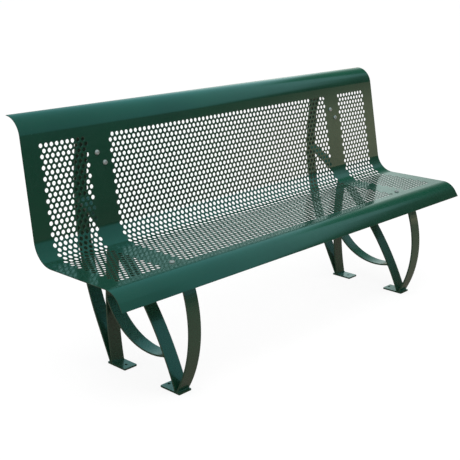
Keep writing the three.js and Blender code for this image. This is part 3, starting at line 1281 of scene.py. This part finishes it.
@dataclass(frozen=True)
class Surroundings:
    """White surroundings, with a sky over a dark skyline that only reflections show.

    X, Y and Z are a direction's. A bearing is Y over X: 0 looks along the bench to its right end, and it
    grows towards the back.

    Args:
        light: strength of the soft light from all round.
        sky_near: colour of the sky on the left.
        sky_far: colour of the sky towards the right end.
        sky_drift: share of sky_far over X.
        beyond: colour past the right end.
        beyond_edge: share of it over X with the next two added.
        beyond_lean: what Z adds to X there.
        beyond_turn: what the bearing adds to X there.
        low_sky: colour of the low sky behind the bench.
        low_behind: share of it over Y.
        low_height: share of it over Z.
        low_along: share of it over X.
        least_along: smallest X for which a bearing is worked out.
        skyline_front: height of the skyline over the bearing, in front.
        skyline_back: share of that height over the bearing, behind.
        skyline_edge: softness of the skyline.
        gain_near: brightness of the sky over X, rising.
        gain_far: brightness of the sky over X, falling.
        band: colour under the skyline.
        pale_band: colour of its pale low part at the right.
        pale_along: share of that part over X.
        pale_height: share of that part over Z.
    """

    light: float = 0.85
    sky_near: Colour = (0.20, 0.69, 0.73)
    sky_far: Colour = (0.33, 0.67, 0.69)
    sky_drift: Ramp = Ramp(0.66, 0.78)
    beyond: Colour = (0.02, 0.20, 0.12)
    beyond_edge: Ramp = Ramp(0.858, 0.880)
    beyond_lean: float = 0.1
    beyond_turn: Ramp = Ramp(-0.15, 0.1, 0.0, 0.055)
    low_sky: Colour = (0.96, 1.20, 1.14)
    low_behind: Ramp = Ramp(0.1, 0.6)
    low_height: Ramp = Ramp(0.6, 0.2)
    low_along: Ramp = Ramp(0.58, 0.76, 0.4, 1.0)
    least_along: float = 0.05
    skyline_front: Ramp = Ramp(-1.05, -0.45, 0.12, 0.50)
    skyline_back: Ramp = Ramp(0.10, 0.55, 1.0, 0.30)
    skyline_edge: Ramp = Ramp(-0.04, 0.05)
    gain_near: Ramp = Ramp(0.56, 0.76, 0.62, 1.2)
    gain_far: Ramp = Ramp(0.76, 0.84, 1.0, 0.60)
    band: Colour = (0.04, 0.05, 0.04)
    pale_band: Colour = (0.80, 0.70, 0.48)
    pale_along: Ramp = Ramp(0.66, 0.78)
    pale_height: Ramp = Ramp(0.08, 0.045)

    def sky(self, graph: Graph, parts: Node, bearing: Input) -> NodeSocket:
        """Adds the nodes of the sky's colour.

        Args:
            graph: the world's graph.
            parts: node with the direction's three parts.
            bearing: the bearing.

        Returns:
            The colour's socket.
        """
        along, rearward, height = (parts.outputs[axis] for axis in "XYZ")
        plain = graph.mix(graph.ramp(along, self.sky_drift), self.sky_near, self.sky_far)
        leaned = graph.math("ADD", along, graph.math("MULTIPLY", height, self.beyond_lean))
        leaned = graph.math("ADD", leaned, graph.ramp(bearing, self.beyond_turn))
        ended = graph.mix(graph.ramp(leaned, self.beyond_edge), plain, self.beyond)
        behind, flat = graph.ramp(rearward, self.low_behind), graph.ramp(height, self.low_height)
        low = graph.math("MULTIPLY", behind, graph.ramp(along, self.low_along))
        whole = graph.mix(graph.math("MULTIPLY", low, flat), ended, self.low_sky)
        gain = graph.math("MULTIPLY", graph.ramp(along, self.gain_near), graph.ramp(along, self.gain_far))
        return graph.out("ShaderNodeVectorMath", {0: whole, 3: gain}, operation="SCALE")

    def reflected(self, graph: Graph) -> NodeSocket:
        """Adds the nodes of the colour that reflections show.

        Args:
            graph: the world's graph.

        Returns:
            The colour's socket.
        """
        direction = graph.node("ShaderNodeTexCoord").outputs["Generated"]
        parts = graph.node("ShaderNodeSeparateXYZ", {0: direction})
        along, rearward, height = (parts.outputs[axis] for axis in "XYZ")
        bearing = graph.math("DIVIDE", rearward, graph.math("MAXIMUM", along, self.least_along))
        front, back = graph.ramp(bearing, self.skyline_front), graph.ramp(bearing, self.skyline_back)
        over = graph.math("SUBTRACT", height, graph.math("MULTIPLY", front, back))
        above = graph.ramp(over, self.skyline_edge)
        right, low = graph.ramp(along, self.pale_along), graph.ramp(height, self.pale_height)
        band = graph.mix(graph.math("MULTIPLY", right, low), self.band, self.pale_band)
        return graph.mix(above, band, self.sky(graph, parts, bearing))

    def build(self) -> None:
        """Sets the world and the view transform."""
        bpy.context.scene.view_settings.view_transform = "Standard"
        world = bpy.data.worlds.new("surroundings")
        bpy.context.scene.world = world
        world.use_nodes = True
        world.node_tree.nodes.clear()
        graph = Graph(world.node_tree)
        given = ((WHITE, self.light), (self.reflected(graph), 1.0), (WHITE, 1.0))
        soft, mirrored, plain = (graph.out("ShaderNodeBackground", dict(enumerate(pair))) for pair in given)
        graph.node("ShaderNodeOutputWorld", {"Surface": graph.by_ray(soft, mirrored, plain)})


@dataclass(frozen=True)
class PhotoCamera:
    """The camera at the photograph's viewpoint.

    Args:
        eye: where it stands.
        right: direction of the picture's right.
        up: direction of the picture's top.
        back: direction away from what it looks at.
        lens: focal length in millimetres, on a sensor 36 mm wide.
        shift: shift of the picture, as shares of its width.
    """

    eye: Triple = (-2.48556, -2.19924, 1.33516)
    right: Triple = (0.66930, -0.74293, 0.00923)
    up: Triple = (0.14114, 0.13933, 0.98014)
    back: Triple = (-0.72946, -0.65470, 0.19811)
    lens: float = 73.46
    shift: tuple[float, float] = (-0.0611, -0.1832)

    def build(self) -> None:
        """Adds the camera to the scene."""
        data = bpy.data.cameras.new("photo_view")
        data.lens = self.lens
        data.sensor_fit = "HORIZONTAL"
        data.shift_x, data.shift_y = self.shift
        camera = bpy.data.objects.new("photo_view", data)
        turn = Matrix((self.right, self.up, self.back)).transposed().to_4x4()
        camera.matrix_world = Matrix.Translation(self.eye) @ turn
        bpy.context.scene.collection.objects.link(camera)
        bpy.context.scene.camera = camera


RIPPLE_SEEDS = {Side.LEFT: 7, Side.RIGHT: 19}


def main() -> None:
    """Builds the scene."""
    logging.basicConfig(level=logging.INFO, format="%(message)s")
    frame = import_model()
    shell_coat, frame_coat, zinc = SHELL_PAINT.material(), FRAME_PAINT.material(), ZINC.material()

    sheet = PerforatedSheet(shell_coat, PROFILE, PERFORATION)
    sheet.dress(sheet.build())

    ripples = Ripples().tree()
    for side, seed in RIPPLE_SEEDS.items():
        legs = LegFrame(side, frame_coat, seed)
        legs.dress(legs.build(ripples), frame["nodes"])
        Fasteners(side, zinc).dress(frame["nodes"])

    for item in (Floor(), Surroundings(), SoftLamp(), PhotoCamera()):
        item.build()
        LOG.info("%s: set", type(item).__name__)


if __name__ == "__main__":
    main()
